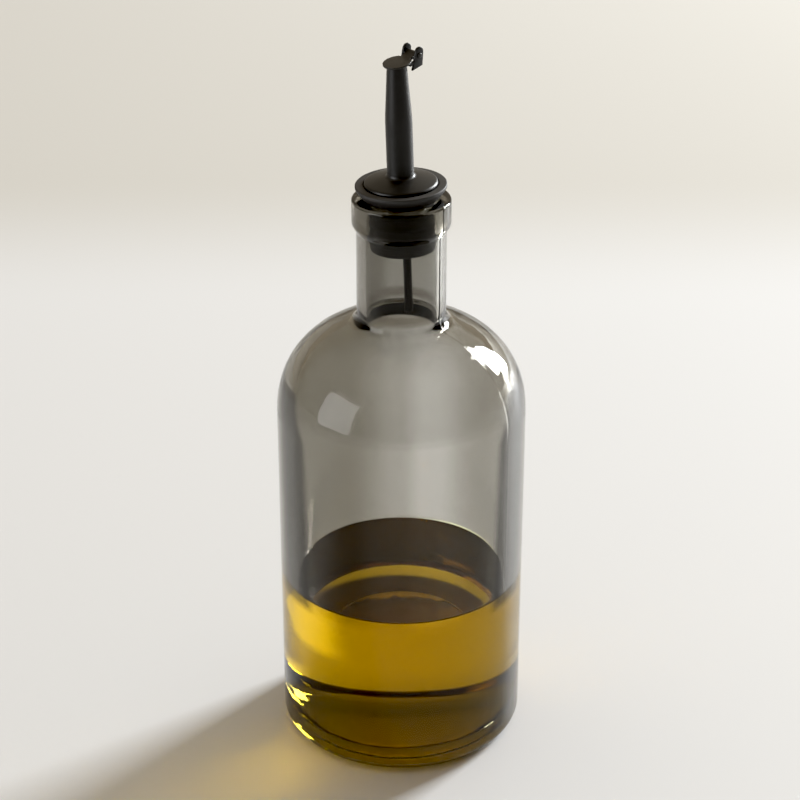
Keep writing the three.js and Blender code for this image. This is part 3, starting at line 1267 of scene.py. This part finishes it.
@dataclass(frozen=True)
class Studio:
    """The camera, the pale floor and the light."""

    lens: float = 98.72
    sensor: float = 36
    pitch: float = 26.6125
    camera_place: Place = (-0.00044, -0.6383, 0.43905)
    floor_drop: float = 0.00005
    floor_half: float = 6
    floor_near: Colour = (0.725, 0.737, 0.762)
    floor_far: Colour = (0.60, 0.592, 0.57)
    floor_change: Span = (0.34, 0.52)
    floor_roughness: float = 0.55
    floor_specular: float = 0.3
    windows: tuple[Window, ...] = (
        Window(
            "window back right", towards=(0.70, 0.65, 0.30), distance=4.0, width=0.95, height=2.0,
            power=340, colour=(0.955, 0.985, 1),
        ),
        Window(
            "window front left", towards=(-0.868, -0.442, 0.22), distance=1.6, width=1.0, height=1.25,
            power=22, colour=(0.97, 0.98, 1), lights_table=False,
        ),
        Window(
            "ceiling", towards=(0, 0.1, 1), distance=2.0, width=2.0, height=2.0,
            power=5, colour=(1, 0.87, 0.68), mirrored=False,
        ),
    )
    glow: Glow = Glow()
    room_colour: Colour = (1, 0.87, 0.68)
    front_light: float = 0.075
    back_light: float = 0.50
    back_span: Span = (-0.7, 0.9)
    top_light: float = 0.22
    top_span: Span = (0.35, 0.9)
    black_level: float = 0.010
    bounces: int = 24
    glossy_bounces: int = 12
    brightest_bounce: float = 30
    gloss_filter: float = 0.3

    def camera(self) -> None:
        """Adds the camera."""
        data = bpy.data.cameras.new("camera")
        data.lens = self.lens
        data.sensor_width = self.sensor
        data.clip_start = 0.01
        item = bpy.data.objects.new("camera", data)
        item.location = self.camera_place
        item.rotation_euler = (math.radians(90 - self.pitch), 0, 0)
        bpy.context.scene.collection.objects.link(item)
        bpy.context.scene.camera = item

    def floor(self) -> None:
        """Adds the floor."""
        bm = bmesh.new()
        bmesh.ops.create_grid(bm, x_segments=1, y_segments=1, size=self.floor_half)
        bmesh.ops.translate(bm, vec=(0, 0, -self.floor_drop), verts=bm.verts)
        mesh = bpy.data.meshes.new("floor")
        bm.to_mesh(mesh)
        bm.free()
        item = bpy.data.objects.new("floor", mesh)
        bpy.context.scene.collection.objects.link(item)
        look = Finish("pale floor")
        far = look.axis("Y").ramp(*self.floor_change)
        look.shown(
            look.skin(
                Base_Color=look.tint(far, self.floor_near, self.floor_far),
                Roughness=self.floor_roughness, Specular_IOR_Level=self.floor_specular,
            )
        )
        item.data.materials.append(look.material)

    def sky(self) -> None:
        """Adds the soft light that comes from all round."""
        world = bpy.data.worlds.new("room")
        bpy.context.scene.world = world
        world.use_nodes = True
        room = Graph(world.node_tree, "ShaderNodeOutputWorld")
        way = room.node("ShaderNodeTexCoord").outputs["Generated"]
        sides = room.node("ShaderNodeSeparateXYZ", Vector=way).outputs
        behind, above = Sum(room.tree, sides["Y"]), Sum(room.tree, sides["Z"])
        strength = behind.ramp(*self.back_span) * (self.back_light - self.front_light) + self.front_light
        strength = strength + above.ramp(*self.top_span) * self.top_light
        colour = (*self.room_colour, 1)
        room.shown(room.node("ShaderNodeBackground", Color=colour, Strength=strength).outputs[0])

    def built(self) -> None:
        """Adds the camera, floor and light, and the way that light is followed."""
        self.camera()
        self.floor()
        self.sky()
        for window in self.windows:
            window.lit()
        self.glow.lit()
        scene = bpy.context.scene
        scene.view_settings.view_transform = "Standard"
        scene.view_settings.use_curve_mapping = True
        scene.view_settings.curve_mapping.black_level = (self.black_level,) * 3
        scene.cycles.use_denoising = True
        scene.cycles.max_bounces = self.bounces
        scene.cycles.transmission_bounces = self.bounces
        scene.cycles.glossy_bounces = self.glossy_bounces
        scene.cycles.transparent_max_bounces = self.bounces
        scene.cycles.sample_clamp_indirect = self.brightest_bounce
        scene.cycles.blur_glossy = self.gloss_filter
        scene.cycles.caustics_refractive = True
        scene.cycles.caustics_reflective = True


def fitted(
    piece: bpy.types.Object, material: bpy.types.Material, body: Body, node: str
) -> None:
    """Dresses a piece, sets it on its body and lets it stand for its CAD node."""
    piece.data.materials.clear()
    piece.data.materials.append(material)
    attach(piece, body.value)
    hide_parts(node)
    LOG.info("%s: %d faces, for %s", piece.name, len(piece.data.polygons), node)


def main() -> None:
    """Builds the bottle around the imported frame."""
    logging.basicConfig(level=logging.INFO, format="%(name)s: %(message)s")
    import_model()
    Studio().built()

    bottle = Bottle()
    oil = Oil(bottle)
    mouth = Mouth()
    place = Pourer().place
    glass = SmokedGlass().made(bottle.wall_middle * MM, bottle.floor_middle * MM, oil.wet_height * MM)
    golden = GoldenOil().made(oil.side_radius * MM, oil.under_top * MM)
    coating = SatinCoating().made()
    plastic = SatinCoating("black plastic", roughness=0.42).made()
    worn = SatinCoating("worn pin", (0.03, 0.03, 0.03), (0.09, 0.09, 0.088)).made()
    # The flap's coating is a lighter, warmer copy of the spout's. The extra lightness is a painted
    # reflection of the warm room on the lid.
    lid = SatinCoating("flap coating", (0.022, 0.020, 0.018), (0.04, 0.037, 0.033)).made()

    fitted(bottle.built(), glass, Body.BOTTLE, "bottle")
    fitted(oil.built(), golden, Body.BOTTLE, "oil")
    fitted(Stopper().built(place), MattRubber().made(), Body.BOTTLE, "stopper")
    fitted(Spout(mouth).built(place), coating, Body.BOTTLE, "spout")
    fitted(VentTube().built(place), plastic, Body.BOTTLE, "vent_tube")
    fitted(HingePin(mouth).built(place), worn, Body.BOTTLE, "hinge_pin")
    fitted(Flap(mouth).built(place), lid, Body.FLAP, "flap")


if __name__ == "__main__":
    main()
